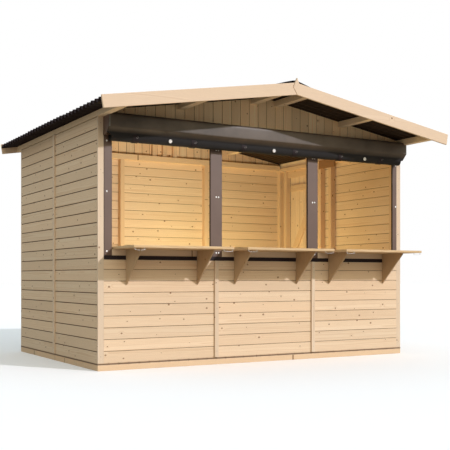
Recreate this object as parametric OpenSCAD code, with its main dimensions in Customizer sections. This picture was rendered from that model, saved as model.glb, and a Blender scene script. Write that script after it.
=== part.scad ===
// Pine kiosk with three serving windows, a shelf under each, a rolled-up cover over
// them, a side door and a low corrugated gable roof. Front faces -Y, door in the +X wall.

/* [Body] */
// Width over the side walls
body_w = 3040; // [2800:10:3300]
// Depth over the front and back walls
body_d = 1990; // [1800:10:2300]
// Height of wall that one board covers
board_h = 90; // [86:1:94]
// Boards from the floor to the eaves
board_rows = 21; // [21:1:23]
// Thickness of the wall boards
cladding_t = 16; // [12:1:20]
// Width of a wall stud along its wall
stud_w = 45; // [38:1:60]
// Depth of a wall stud into the room
stud_d = 58; // [45:1:70]
// Height of the rails at the foot and top of a wall
rail_h = 45; // [35:1:60]
// Width of the trim boards at the corners
trim_w = 50; // [40:1:60]
// Width of the battens over the panel joints
batten_w = 36; // [30:1:50]
// Thickness of the battens over the panel joints
batten_t = 14; // [8:1:20]

/* [Floor] */
// Height of the floor joists
joist_h = 42; // [35:1:60]
// Width of the floor joists
joist_w = 45; // [35:1:60]
// Number of long joists from front to back
joist_count = 5; // [5:2:7]
// Thickness of the floor boards
floor_t = 18; // [15:1:24]

/* [Back] */
// Height of the plate along the top of the back wall
plate_h = 58; // [45:1:70]
// Height of its top over the wall boards
plate_rise = 31; // [20:1:36]
// Width of the short uprights between this plate and the ridge
upright_w = 46; // [36:1:58]
// Depth of these uprights
upright_d = 40; // [20:1:44]

/* [Front] */
// Boards in the low wall under the windows
counter_rows = 9; // [8:1:10]
// Distance between the middles of the window posts
bay_pitch = 980; // [940:5:1010]
// Width of the dark strips on the window posts
strip_w = 110; // [90:1:120]
// Thickness of the dark strips
strip_t = 20; // [18:1:24]
// How far the dark strips stand proud of the boards
strip_proud = 4; // [2:1:8]
// Width of the dark strips beside the corner trim, before the shift of the windows
end_strip_w = 58; // [50:1:66]
// Distance of the middle window to the right of the middle of the kiosk
bay_shift = 8; // [0:1:12]
// Height of the dark strip under the windows
sill_strip_h = 32; // [25:1:40]
// Height of the sill rail above the low wall
sill_h = 65; // [50:1:80]
// Height of the head rail over the windows
head_h = 90; // [70:1:100]
// Depth of the underside of the head rail below the top of the wall boards
head_drop = 144; // [130:1:160]

/* [Shelves] */
// Gap between the ends of a shelf and the dark strips
shelf_play = 7; // [3:1:12]
// Reach of a shelf in front of the wall
shelf_reach = 400; // [330:5:450]
// Thickness of a shelf
shelf_t = 20; // [16:1:28]
// Reach of a bracket along the underside of the shelf
bracket_reach = 272; // [220:1:300]
// Height of a bracket down the wall
bracket_h = 276; // [200:1:300]
// Thickness of a bracket
bracket_t = 12; // [8:1:30]
// Height of the blunt outer end of a bracket
bracket_nose = 12; // [6:1:20]
// Distance from the end of a shelf to the middle of its bracket
bracket_inset = 114; // [80:1:160]

/* [Rolled cover] */
// Distance from the ends of the cover to the outer faces of the side walls
cover_in = 34; // [34:2:80]
// Reach of the cover in front of the wall
cover_out = 117; // [95:1:130]
// Height of its upper fold, from the flat underside to the top
cover_h = 174; // [165:1:180]
// Depth and height of the slope under its front crease
cover_slope = 54; // [30:1:60]
// Fall of its top face away from the wall
cover_fall = 14; // [8:1:30]
// Radius of the tight roll under the upper fold
roll_r = 34; // [26:1:38]
// Distance from the ends of the cover to the ends of the roll
roll_in = 75; // [20:5:120]
// Depth below the top of the wall boards at which the roll ends
cover_drop = 187; // [177:1:195]

/* [Door] */
// Width of the doorway
door_w = 600; // [560:10:700]
// Boards beside the doorway up to its head
door_rows = 20; // [19:1:20]
// Distance from the back face of the kiosk to the doorway
door_from_back = 195; // [150:5:300]
// Gap round the door leaf
door_gap = 6; // [5:1:8]
// Thickness of the ledges and braces on the door
ledge_t = 20; // [16:1:26]
// Height of a door ledge
ledge_h = 70; // [60:1:100]

/* [Roof] */
// Slope of the roof in degrees
roof_pitch = 9.4; // [8:0.1:12]
// Roof overhang in front of the front wall
front_overhang = 462; // [380:2:500]
// Roof overhang behind the back wall
back_overhang = 162; // [120:2:220]
// Roof overhang past the side walls
side_overhang = 154; // [120:2:200]
// Width of a purlin
purlin_w = 58; // [45:1:70]
// Height of a purlin
purlin_h = 45; // [38:1:60]
// Height of the eaves purlins at the outer face of the wall
eaves_h = 44; // [38:1:56]
// Middle purlins' distance from the ridge line
purlin_mid = 808; // [760:2:880]
// Ridge purlins' distance from the ridge line
purlin_ridge = 120; // [90:2:160]
// Width of a bargeboard
barge_w = 95; // [85:1:110]
// Thickness of a bargeboard
barge_t = 18; // [15:1:24]
// Height of the bargeboard's top edge over the underside of the sheets
barge_rise = 42; // [34:1:48]
// Width of one wave of the roof sheets
wave_pitch = 76; // [70:1:95]
// Height of the waves
wave_h = 31; // [24:1:34]
// Thickness of the roof sheets
sheet_t = 3; // [2:0.5:4]
// How far the right sheet stops short of the ends of its bargeboards
sheet_short = 76; // [0:2:90]
// Reach of the ridge cap to each side of the ridge line
cap_w = 240; // [180:5:300]
// Height of the middle of the ridge cap over the crests of the sheets
cap_rise = 24; // [20:1:50]

/* [Hidden] */

floor_z = joist_h + floor_t;
eaves_z = floor_z + board_rows * board_h;
plate_z = eaves_z + plate_rise;
counter_z = floor_z + counter_rows * board_h;
sill_z = counter_z + sill_h;
head_z = eaves_z - head_drop;
door_z = floor_z + door_rows * board_h;
side_x = body_w / 2;
face_y = body_d / 2;
// Inner faces of the boards and of the studs
board_x = side_x - cladding_t;
board_y = face_y - cladding_t;
room_x = board_x - stud_d;
room_y = board_y - stud_d;
post_x = bay_pitch / 2;
front_posts_x = [bay_shift - post_x, bay_shift + post_x];
pine = "burlywood";
light_pine = "wheat";
dark_cover = "dimgray";
steel = "silver";

// Underside of the roof sheets over the wall, as a height at distance x from the ridge line
slope = tan(roof_pitch);
ridge_z = eaves_z + eaves_h + side_x * slope;
function under_z(x) = ridge_z - abs(x) * slope;
roof_x = side_x + side_overhang;
roof_y0 = -face_y - front_overhang;
roof_y1 = face_y + back_overhang;

// A block between two corners
module block(low, high) {
    translate(low) cube(high - low);
}

// An outline in X and Z, drawn out along Y from y0 to y1
module along_y(y0, y1, points) {
    translate([0, y1, 0]) rotate([90, 0, 0]) linear_extrude(y1 - y0) polygon(points);
}

// An outline in Y and Z, drawn out along X from x0 to x1
module along_x(x0, x1, points) {
    translate([x0, 0, 0]) rotate([90, 0, 90]) linear_extrude(x1 - x0) polygon(points);
}

module floor_joists() {
    step = (body_d - joist_w) / (joist_count - 1);
    color(pine)
        for (i = [0:joist_count - 1])
            translate([0, i * step, 0])
                block([-side_x, -face_y, 0], [side_x, -face_y + joist_w, joist_h]);
}

module floor_side_joists() {
    step = (body_d - joist_w) / (joist_count - 1);
    color(pine)
        for (i = [0:joist_count - 2], side = [0, 1])
            mirror([side, 0, 0])
                translate([side_x - joist_w, -face_y + joist_w + i * step, 0])
                    cube([joist_w, step - joist_w, joist_h]);
}

module floor_boards() {
    color(light_pine) block([-side_x, -face_y, joist_h], [side_x, face_y, floor_z]);
}

module corner_posts() {
    color(pine)
        for (sx = [0, 1], sy = [0, 1])
            mirror([sx, 0, 0]) mirror([0, sy, 0])
                block([room_x, room_y, floor_z], [board_x, board_y, eaves_z]);
}

module corner_trims() {
    color(light_pine)
        for (sx = [0, 1], sy = [0, 1])
            mirror([sx, 0, 0]) mirror([0, sy, 0])
                block([side_x - trim_w, board_y, floor_z], [side_x, face_y, eaves_z]);
}

// Low boarded panel under a window
module front_panel(x0, x1) {
    color(light_pine) block([x0, -face_y, floor_z], [x1, -board_y, counter_z]);
}

module front_panel_left() { front_panel(trim_w - side_x, front_posts_x[0]); }
module front_panel_middle() { front_panel(front_posts_x[0], front_posts_x[1]); }
module front_panel_right() { front_panel(front_posts_x[1], side_x - trim_w); }

module front_posts() {
    color(pine)
        for (x = front_posts_x)
            block([x - stud_w / 2, -board_y, floor_z], [x + stud_w / 2, -room_y, head_z]);
}

// Room between the posts of each bay, as pairs of x
bays = [
    [-room_x, front_posts_x[0] - stud_w / 2],
    [front_posts_x[0] + stud_w / 2, front_posts_x[1] - stud_w / 2],
    [front_posts_x[1] + stud_w / 2, room_x]
];

module front_rails() {
    color(pine)
        for (b = bays) {
            block([b[0], -board_y, floor_z], [b[1], -room_y, floor_z + rail_h]);
            block([b[0], -board_y, counter_z - rail_h], [b[1], -room_y, counter_z]);
        }
}

// Clear width between the dark strips of each bay
clear_bays = [
    [trim_w + end_strip_w + bay_shift - side_x, front_posts_x[0] - strip_w / 2],
    [front_posts_x[0] + strip_w / 2, front_posts_x[1] - strip_w / 2],
    [front_posts_x[1] + strip_w / 2, side_x - trim_w - end_strip_w + bay_shift]
];

module front_sills() {
    color(light_pine)
        for (b = clear_bays)
            block([b[0], -face_y, counter_z], [b[1], -room_y, sill_z]);
}

module front_head_rail() {
    color(pine) block([-room_x, -board_y, head_z], [room_x, -room_y, head_z + head_h]);
}

// How far a cutting solid runs past what it cuts
cut_over = 1;

// Boards above eaves height, notched over the purlins
module gable(y0, y1, foot_z, half_w) {
    color(light_pine)
        difference() {
            along_y(y0, y1, [
                [-half_w, foot_z], [half_w, foot_z], [half_w, under_z(half_w)],
                [0, ridge_z], [-half_w, under_z(half_w)]
            ]);
            for (x = purlin_places) purlin(x, y0 - cut_over, y1 + cut_over, cut_over);
        }
}

module front_gable() { gable(-face_y, -board_y, head_z, side_x - trim_w); }
module back_gable() { gable(board_y, face_y, eaves_z, side_x - trim_w); }

// Full-height boarded panel of the back wall
module back_panel(x0, x1) {
    color(light_pine) block([x0, board_y, floor_z], [x1, face_y, eaves_z]);
}

module back_panel_left() { back_panel(trim_w - side_x, -post_x); }
module back_panel_middle() { back_panel(-post_x, post_x); }
module back_panel_right() { back_panel(post_x, side_x - trim_w); }

module back_studs() {
    color(pine)
        for (x = [-post_x, post_x])
            block([x - stud_w / 2, room_y, floor_z + rail_h],
                  [x + stud_w / 2, board_y, plate_z - plate_h]);
}

// Foot rail, and the plate whose top stands a little over the wall boards
module back_rails() {
    color(pine) {
        block([-room_x, room_y, floor_z], [room_x, board_y, floor_z + rail_h]);
        block([-room_x, room_y, plate_z - plate_h], [room_x, board_y, plate_z]);
    }
}

module side_panel(x0, x1, y0, y1, z0, z1) {
    color(light_pine) block([x0, y0, z0], [x1, y1, z1]);
}

module left_panel_front() { side_panel(-side_x, -board_x, -board_y, 0, floor_z, eaves_z); }
module left_panel_back() { side_panel(-side_x, -board_x, 0, board_y, floor_z, eaves_z); }
module right_panel_front() { side_panel(board_x, side_x, -board_y, 0, floor_z, eaves_z); }

door_y1 = face_y - door_from_back;
door_y0 = door_y1 - door_w;

module right_panels_beside_door() {
    side_panel(board_x, side_x, 0, door_y0, floor_z, eaves_z);
    side_panel(board_x, side_x, door_y1, board_y, floor_z, eaves_z);
}

module right_panel_over_door() {
    side_panel(board_x, side_x, door_y0, door_y1, door_z, eaves_z);
}

// Studs of the side walls: one at the middle joint, and one on each side of the doorway
module side_stud(side, y0) {
    mirror([1 - side, 0, 0])
        block([room_x, y0, floor_z + rail_h], [board_x, y0 + stud_w, eaves_z - rail_h]);
}

module side_studs() {
    color(pine) {
        side_stud(0, -stud_w / 2);
        side_stud(1, -stud_w / 2);
        side_stud(1, door_y0 - stud_w);
        side_stud(1, door_y1);
    }
}

module side_rail(side, y0, y1, z) {
    mirror([1 - side, 0, 0]) block([room_x, y0, z], [board_x, y1, z + rail_h]);
}

module side_rails() {
    color(pine) {
        side_rail(0, -room_y, room_y, floor_z);
        side_rail(0, -room_y, room_y, eaves_z - rail_h);
        side_rail(1, -room_y, room_y, eaves_z - rail_h);
        side_rail(1, -room_y, door_y0, floor_z);
        side_rail(1, door_y1, room_y, floor_z);
    }
}

module joint_battens() {
    half = batten_w / 2;
    color(light_pine) {
        for (x = front_posts_x)
            block([x - half, -face_y - batten_t, floor_z],
                  [x + half, -face_y, counter_z - sill_strip_h / 2]);
        for (x = [-post_x, post_x])
            block([x - half, face_y, floor_z], [x + half, face_y + batten_t, eaves_z]);
        for (side = [0, 1])
            mirror([side, 0, 0])
                block([side_x, -half, floor_z], [side_x + batten_t, half, eaves_z]);
    }
}

// Short uprights on the inside of the gables: one in the middle, one under each ridge purlin
module gable_battens() {
    half = upright_w / 2;
    color(pine)
        for (sy = [0, 1], x = [-purlin_ridge, 0, purlin_ridge])
            mirror([0, sy, 0])
                block([x - half, board_y - upright_d, plate_z],
                      [x + half, board_y, x == 0 ? under_z(half) : under_z(x) - purlin_h]);
}

purlin_places = [
    purlin_w / 2 - side_x, -purlin_mid, -purlin_ridge,
    purlin_ridge, purlin_mid, side_x - purlin_w / 2
];

// A purlin whose top follows the slope, larger by grow where it cuts a notch
module purlin(x, y0, y1, grow = 0) {
    x0 = x - purlin_w / 2;
    x1 = x + purlin_w / 2;
    z0 = abs(x) > purlin_mid ? eaves_z : under_z(x) - purlin_h;
    along_y(y0, y1, [
        [x0, z0], [x1, z0], [x1, under_z(x1) + grow], [x0, under_z(x0) + grow]
    ]);
}

module purlins() {
    color(pine)
        for (x = purlin_places) purlin(x, roof_y0 + barge_t, roof_y1 - barge_t);
}

// Wavy section of a sheet: the lower line, then the upper line back again
sheet_y0 = roof_y0 + barge_t;
sheet_l = roof_y1 - roof_y0 - 2 * barge_t;
wave_steps = 8;
wave_n = floor(sheet_l / wave_pitch * wave_steps);
function wave(s) = wave_h / 2 * (1 - cos(360 * s / wave_pitch));
wave_line = [for (i = [0:wave_n]) sheet_l * i / wave_n];
sheet_outline = concat(
    [for (s = wave_line) [s, wave(s)]],
    [for (i = [wave_n:-1:0]) [wave_line[i], wave(wave_line[i]) + sheet_t]]
);

// Half of the gap between the two sheets at the ridge
ridge_gap = 2;

// One roof sheet from the ridge line down to the eaves, side 1 is the right one
module roof_sheet(side) {
    lean = (wave_h + sheet_t) * sin(roof_pitch);
    length = (roof_x - lean - ridge_gap - side * sheet_short) / cos(roof_pitch);
    color("#2b2022")
        mirror([1 - side, 0, 0])
            translate([ridge_gap, sheet_y0, under_z(ridge_gap)])
                rotate([0, roof_pitch, 0])
                    rotate([90, 0, 90])
                        linear_extrude(length) polygon(sheet_outline);
}

module roof_sheet_left() { roof_sheet(0); }
module roof_sheet_right() { roof_sheet(1); }

// Ridge cap: a curved crown, and two nearly straight sides that end on the crests
cap_crown = 8;
cap_steps = 12;
crest = (wave_h + sheet_t) / cos(roof_pitch);
cap_fall = cap_rise + cap_w * slope;
cap_grade = sqrt((cap_fall + cap_crown) ^ 2 - cap_crown ^ 2) / cap_w;
function cap_z(x) = ridge_z + crest + cap_rise + cap_crown - sqrt(cap_crown ^ 2 + (cap_grade * x) ^ 2);
cap_line = [for (i = [-cap_steps:cap_steps]) sign(i) * (i / cap_steps) ^ 2 * cap_w];
cap_outline = concat(
    [for (x = cap_line) [x, cap_z(x)]],
    [for (x = cap_line) [-x, cap_z(x) + sheet_t]]
);

module ridge_cap() {
    color("#2b2022") along_y(sheet_y0, sheet_y0 + sheet_l, cap_outline);
}

// Joint of two bargeboards at the ridge: the right one has a pointed end that reaches
// past the ridge line, with a spike over it, and the left one is cut to follow it
joint_out = 27;
joint_down = 38;
joint_up = 40;
spike_x = 10;
spike_w = 20;
joint_gap = 5;
barge_drop = barge_w / cos(roof_pitch);
function barge_z(x) = under_z(x) + barge_rise;
joint_lean = (joint_up + joint_down) / (spike_x + joint_out);
left_x = (joint_down - joint_lean * joint_out) / (joint_lean - slope) - joint_gap;
barge_end = [
    [roof_x - barge_w * sin(roof_pitch), barge_z(roof_x) - barge_w * cos(roof_pitch)],
    [roof_x, barge_z(roof_x)]
];

module bargeboard_left(y0) {
    color(light_pine)
        along_y(y0, y0 + barge_t, [
            [left_x, barge_z(left_x)],
            [-joint_out - joint_gap, barge_z(0) - joint_down],
            [spike_x - joint_gap, barge_z(spike_x) - barge_drop],
            for (p = barge_end) [-p[0], p[1]]
        ]);
}

module bargeboard_right(y0) {
    color(light_pine)
        along_y(y0, y0 + barge_t, [
            [spike_x, barge_z(0) + joint_up],
            [-joint_out, barge_z(0) - joint_down],
            [spike_x, barge_z(spike_x) - barge_drop],
            for (p = barge_end) p,
            [spike_x + spike_w, barge_z(spike_x + spike_w)]
        ]);
}

module bargeboard_front_left() { bargeboard_left(roof_y0); }
module bargeboard_front_right() { bargeboard_right(roof_y0); }
module bargeboard_back_left() { bargeboard_left(roof_y1 - barge_t); }
module bargeboard_back_right() { bargeboard_right(roof_y1 - barge_t); }

strip_y0 = -face_y - strip_proud;
// How far the top of the roll reaches into the fold, as a share of its radius
roll_fit = 0.28;
notch_play = 1;

module window_strips() {
    foot = counter_z + sill_strip_h / 2;
    color(dark_cover) {
        for (x = front_posts_x)
            block([x - strip_w / 2, strip_y0, foot],
                  [x + strip_w / 2, strip_y0 + strip_t, head_z]);
        block([trim_w - side_x, strip_y0, foot], [clear_bays[0][0], strip_y0 + strip_t, head_z]);
        block([clear_bays[2][1], strip_y0, foot], [side_x - trim_w, strip_y0 + strip_t, head_z]);
    }
}

module sill_strip() {
    color(dark_cover)
        block([trim_w - side_x, strip_y0, counter_z - sill_strip_h / 2],
              [side_x - trim_w, -face_y, counter_z + sill_strip_h / 2]);
}

// Upper fold of the rolled cover: top that falls forward, upright face, slope under its crease
roll_z = eaves_z - cover_drop + roll_r;
fold_z = roll_z + roll_fit * roll_r;
cover_x = side_x - cover_in;
cover_y0 = -face_y - cover_out;
cover_outline = [
    [strip_y0, fold_z + cover_h], [strip_y0, fold_z], [cover_y0 + cover_slope, fold_z],
    [cover_y0, fold_z + cover_slope], [cover_y0, fold_z + cover_h - cover_fall]
];

// The fold is notched under the eaves purlins, and the tight roll hangs below it
module rolled_cover() {
    notch_x = side_x - purlin_w - notch_play;
    color(dark_cover) union() {
        difference() {
            along_x(bay_shift - cover_x, bay_shift + cover_x, cover_outline);
            for (side = [0, 1])
                mirror([side, 0, 0])
                    block([notch_x, cover_y0 - cut_over, eaves_z - notch_play],
                          [side_x, -face_y, fold_z + cover_h + cut_over]);
        }
        translate([bay_shift + roll_in - cover_x, strip_y0 - roll_r, roll_z])
            rotate([0, 90, 0])
                cylinder(r = roll_r, h = 2 * (cover_x - roll_in), $fn = 48);
    }
}

shelf_y0 = -face_y - shelf_reach;
shelf_ends = [for (b = clear_bays) [b[0] + shelf_play, b[1] - shelf_play]];

module shelves() {
    color(light_pine)
        for (e = shelf_ends)
            block([e[0], shelf_y0, sill_z], [e[1], -room_y, sill_z + shelf_t]);
}

// Solid triangle under a shelf, upright edge against the wall
module shelf_bracket(x) {
    y = strip_y0;
    along_x(x - bracket_t / 2, x + bracket_t / 2, [
        [y, sill_z], [y - bracket_reach, sill_z],
        [y - bracket_reach, sill_z - bracket_nose], [y, sill_z - bracket_h]
    ]);
}

module shelf_brackets() {
    color(light_pine)
        for (e = shelf_ends) {
            shelf_bracket(e[0] + bracket_inset);
            shelf_bracket(e[1] - bracket_inset);
        }
}

// Door leaf flush with the wall boards
leaf_y0 = door_y0 + door_gap;
leaf_y1 = door_y1 - door_gap;
leaf_z0 = floor_z + door_gap;
leaf_z1 = door_z - door_gap;
// Hinges: pin outside the wall face, three knuckles with a running gap between them
knuckle_r = 6;
knuckle_gap = 0.6;
pin_r = 2.5;
pin_play = 0.4;
hinge_t = 3;
hinge_h = 36;
hinge_w = 60;
strap_l = 260;
strap_lap = 1;
knuckle_lift = 2;
pin_x = side_x + knuckle_r + knuckle_lift;
pin_y = door_y1;

module door_leaf() {
    color(light_pine) block([board_x, leaf_y0, leaf_z0], [side_x, leaf_y1, leaf_z1]);
}

// Heights of the feet of the three ledges, and how far the ledges stay in from the sides
ledge_in = 24;
ledge_off = 110;
ledge_feet = [
    leaf_z0 + ledge_off, (leaf_z0 + leaf_z1 - ledge_h) / 2, leaf_z1 - ledge_off - ledge_h
];

module door_ledges() {
    color(pine)
        for (z = ledge_feet)
            block([board_x - ledge_t, leaf_y0 + ledge_in, z],
                  [board_x, leaf_y1 - ledge_in, z + ledge_h]);
}

// Sloping braces between the ledges, foot at the hinge side
brace_w = 95;

module door_braces() {
    run = brace_w;
    color(pine)
        for (i = [0, 1])
            along_x(board_x - ledge_t, board_x, [
                [leaf_y1 - ledge_in, ledge_feet[i] + ledge_h],
                [leaf_y0 + ledge_in + run, ledge_feet[i + 1]],
                [leaf_y0 + ledge_in, ledge_feet[i + 1]],
                [leaf_y1 - ledge_in - run, ledge_feet[i] + ledge_h]
            ]);
}

// Hinges sit at the height of the upper and lower ledge
hinge_feet = [for (i = [0, 2]) ledge_feet[i] + (ledge_h - hinge_h) / 2];
knuckle_h = hinge_h / 3;

// Strap on the leaf with the middle knuckle round the pin
module door_hinges() {
    eye_z = knuckle_h + knuckle_gap;
    eye_h = knuckle_h - 2 * knuckle_gap;
    color(steel)
        for (z = hinge_feet)
            difference() {
                union() {
                    block([side_x, leaf_y1 - strap_l, z],
                          [side_x + hinge_t, pin_y - 2 * knuckle_r, z + hinge_h]);
                    block([side_x, pin_y - 2 * knuckle_r - strap_lap, z + eye_z],
                          [side_x + hinge_t, pin_y, z + eye_z + eye_h]);
                    translate([pin_x, pin_y, z + eye_z])
                        cylinder(r = knuckle_r, h = eye_h, $fn = 32);
                }
                translate([pin_x, pin_y, z]) cylinder(r = pin_r + pin_play, h = hinge_h, $fn = 32);
            }
}

// Plate on the wall with the outer knuckles and the pin
module frame_hinges() {
    color(steel)
        for (z = hinge_feet) {
            for (foot = [z, z + 2 * knuckle_h]) {
                block([side_x, pin_y, foot], [side_x + hinge_t, pin_y + hinge_w, foot + knuckle_h]);
                translate([pin_x, pin_y, foot]) cylinder(r = knuckle_r, h = knuckle_h, $fn = 32);
            }
            translate([pin_x, pin_y, z]) cylinder(r = pin_r, h = hinge_h, $fn = 32);
        }
}

// Tower bolt near the free edge of the leaf
bolt_l = 96;
bolt_h = 25;
bolt_t = 8;
bolt_in = 14;
bolt_z = 960;

module door_bolt() {
    color(steel)
        translate([side_x, leaf_y0 + bolt_in, bolt_z]) cube([bolt_t, bolt_l, bolt_h]);
}

floor_joists();
floor_side_joists();
floor_boards();
corner_posts();
corner_trims();
front_panel_left();
front_panel_middle();
front_panel_right();
front_posts();
front_rails();
front_sills();
front_head_rail();
front_gable();
back_panel_left();
back_panel_middle();
back_panel_right();
back_studs();
back_rails();
back_gable();
left_panel_front();
left_panel_back();
right_panel_front();
right_panels_beside_door();
right_panel_over_door();
side_studs();
side_rails();
joint_battens();
gable_battens();
purlins();
roof_sheet_left();
roof_sheet_right();
ridge_cap();
bargeboard_front_left();
bargeboard_front_right();
bargeboard_back_left();
bargeboard_back_right();
window_strips();
sill_strip();
rolled_cover();
shelves();
shelf_brackets();
frame_hinges();
door_leaf();
door_ledges();
door_braces();
door_hinges();
door_bolt();
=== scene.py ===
import math
import random
from functools import partial

import bmesh
import bpy
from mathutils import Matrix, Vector


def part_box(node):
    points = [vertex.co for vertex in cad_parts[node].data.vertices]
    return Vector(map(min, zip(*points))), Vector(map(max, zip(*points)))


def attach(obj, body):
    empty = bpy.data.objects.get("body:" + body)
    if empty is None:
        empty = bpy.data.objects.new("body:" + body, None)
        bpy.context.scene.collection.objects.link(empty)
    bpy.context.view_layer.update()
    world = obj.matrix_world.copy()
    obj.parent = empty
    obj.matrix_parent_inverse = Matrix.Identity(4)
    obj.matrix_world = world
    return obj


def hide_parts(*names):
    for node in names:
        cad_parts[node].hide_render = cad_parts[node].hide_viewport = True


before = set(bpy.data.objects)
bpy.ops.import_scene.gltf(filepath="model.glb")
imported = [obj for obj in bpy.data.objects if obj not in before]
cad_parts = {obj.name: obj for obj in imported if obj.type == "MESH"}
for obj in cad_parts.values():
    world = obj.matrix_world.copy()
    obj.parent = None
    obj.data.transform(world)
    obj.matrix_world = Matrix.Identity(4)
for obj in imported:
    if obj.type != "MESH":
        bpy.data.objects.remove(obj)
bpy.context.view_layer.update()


# Camera
# A level camera at the height of a low tripod, a good six metres from the left front
# corner. Its picture is shifted up, so that the upright edges stay upright.
def place_new(name, data):
    """A new object in the scene."""
    thing = bpy.data.objects.new(name, data)
    bpy.context.scene.collection.objects.link(thing)
    return thing


camera = place_new("camera", bpy.data.cameras.new("camera"))
camera.location = (-3.9066, -7.0161, 0.7229)
camera.rotation_euler = (math.radians(90), 0, math.radians(-30.24))
camera.data.lens = 67.2
camera.data.sensor_width = 36
camera.data.shift_y = 0.1147
bpy.context.scene.camera = camera
bpy.context.scene.view_settings.view_transform = "Standard"


# Stage
# A pale matt studio floor without an edge, one key light from the front right, and a soft
# surround that is brighter above and warm in front. Two soft lamps light the room, one
# low over its floor and one just inside the windows.
def feed(tree, socket, value):
    """Links a socket to another, or gives it a plain value."""
    if isinstance(value, bpy.types.NodeSocket):
        tree.links.new(value, socket)
    else:
        socket.default_value = value


def math_node(tree, operation, first, second=0.0, third=0.0, clamp=False):
    node = tree.nodes.new("ShaderNodeMath")
    node.operation = operation
    node.use_clamp = clamp
    for socket, value in zip(node.inputs, (first, second, third)):
        feed(tree, socket, value)
    return node.outputs[0]


def split(tree, vector):
    node = tree.nodes.new("ShaderNodeSeparateXYZ")
    feed(tree, node.inputs[0], vector)
    return node.outputs


def ramp(tree, value, low, high, out_low=0.0, out_high=1.0, curve="SMOOTHSTEP"):
    """Runs from one output to the other while the value runs from low to high."""
    node = tree.nodes.new("ShaderNodeMapRange")
    node.interpolation_type = curve
    for label, amount in (("Value", value), ("From Min", low), ("From Max", high),
                          ("To Min", out_low), ("To Max", out_high)):
        feed(tree, node.inputs[label], amount)
    return node.outputs[0]


def blend_colors(tree, share, first, second, mode="MIX"):
    node = tree.nodes.new("ShaderNodeMix")
    node.data_type = "RGBA"
    node.blend_type = mode
    for i, value in ((0, share), (6, first), (7, second)):
        feed(tree, node.inputs[i], (*value, 1) if isinstance(value, tuple) else value)
    return node.outputs[2]


def new_material(name):
    """A new material with its node tree and its shader."""
    material = bpy.data.materials.new(name)
    material.use_nodes = True
    return material, material.node_tree, material.node_tree.nodes["Principled BSDF"]


floor_half = 60
stage_mesh = bmesh.new()
bmesh.ops.create_grid(stage_mesh, x_segments=1, y_segments=1, size=floor_half)
stage_data = bpy.data.meshes.new("studio_floor")
stage_mesh.to_mesh(stage_data)
stage_mesh.free()
stage_paint, tree, shader = new_material("studio_floor")
seen = tree.nodes.new("ShaderNodeLightPath").outputs["Is Camera Ray"]
feed(tree, shader.inputs["Base Color"], blend_colors(tree, seen, (0.34, 0.29, 0.22), (1.0, 0.99, 0.985)))
shader.inputs["Roughness"].default_value = 0.95
shader.inputs["Specular IOR Level"].default_value = 0.1
shader.inputs["Emission Color"].default_value = (1.0, 0.98, 0.97, 1)
shader.inputs["Emission Strength"].default_value = 0.04
stage_data.materials.append(stage_paint)
stage = place_new("studio_floor", stage_data)

key = place_new("key_light", bpy.data.lights.new("key_light", "SUN"))
key.data.energy = 2.04
key.data.angle = math.radians(1.5)
key.data.color = (0.92, 0.91, 1.0)
key.rotation_euler = Vector((0.454, -0.762, 0.461)).to_track_quat("Z", "Y").to_euler()

for name, place, aim, length, width, energy, tint in (
        ("floor_lamp", (0.30, 0.36, 0.16), (0.10, 0.10, 0.97), 0.9, 0.3, 14.5, (1.0, 0.90, 0.40)),
        ("window_lamp", (-0.42, -0.86, 1.10), (-0.22, 0.93, 0.26), 0.4, 0.3, 19, (0.96, 0.94, 0.76))):
    lamp = place_new(name, bpy.data.lights.new(name, "AREA"))
    lamp.data.shape = "RECTANGLE"
    lamp.data.size = length
    lamp.data.size_y = width
    lamp.data.energy = energy
    lamp.data.color = tint
    lamp.location = place
    lamp.rotation_euler = (-Vector(aim)).to_track_quat("Z", "Y").to_euler()
    lamp.visible_camera = False

world = bpy.data.worlds.new("surround")
world.use_nodes = True
bpy.context.scene.world = world
tree = world.node_tree
heading = split(tree, tree.nodes.new("ShaderNodeTexCoord").outputs["Generated"])
fill = tree.nodes["Background"]
fill.inputs["Color"].default_value = (0.83, 0.94, 1.0, 1)
feed(tree, fill.inputs["Strength"], ramp(tree, heading["Z"], 0.0, 0.7, 0.32, 0.80, "LINEAR"))
# The warm band in front, ten to thirty degrees up
band = math_node(tree, "MULTIPLY", heading["Y"], -1.0, clamp=True)
band = math_node(tree, "MULTIPLY", band, ramp(tree, heading["Z"], 0.12, 0.26))
band = math_node(tree, "MULTIPLY", band, ramp(tree, heading["Z"], 0.42, 0.62, 1.0, 0.0))
warm = tree.nodes.new("ShaderNodeBackground")
warm.inputs["Color"].default_value = (1.0, 0.80, 0.44, 1)
feed(tree, warm.inputs["Strength"], math_node(tree, "MULTIPLY", band, 1.6))
both = tree.nodes.new("ShaderNodeAddShader")
for socket, light in zip(both.inputs, (fill, warm)):
    feed(tree, socket, light.outputs[0])
# The camera itself sees plain white behind the kiosk
white = tree.nodes.new("ShaderNodeBackground")
white.inputs["Color"].default_value = (1, 1, 1, 1)
seen = tree.nodes.new("ShaderNodeLightPath").outputs["Is Camera Ray"]
either = tree.nodes.new("ShaderNodeMixShader")
for socket, value in zip(either.inputs, (seen, both.outputs[0], white.outputs[0])):
    feed(tree, socket, value)
feed(tree, tree.nodes["World Output"].inputs["Surface"], either.outputs[0])


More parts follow.
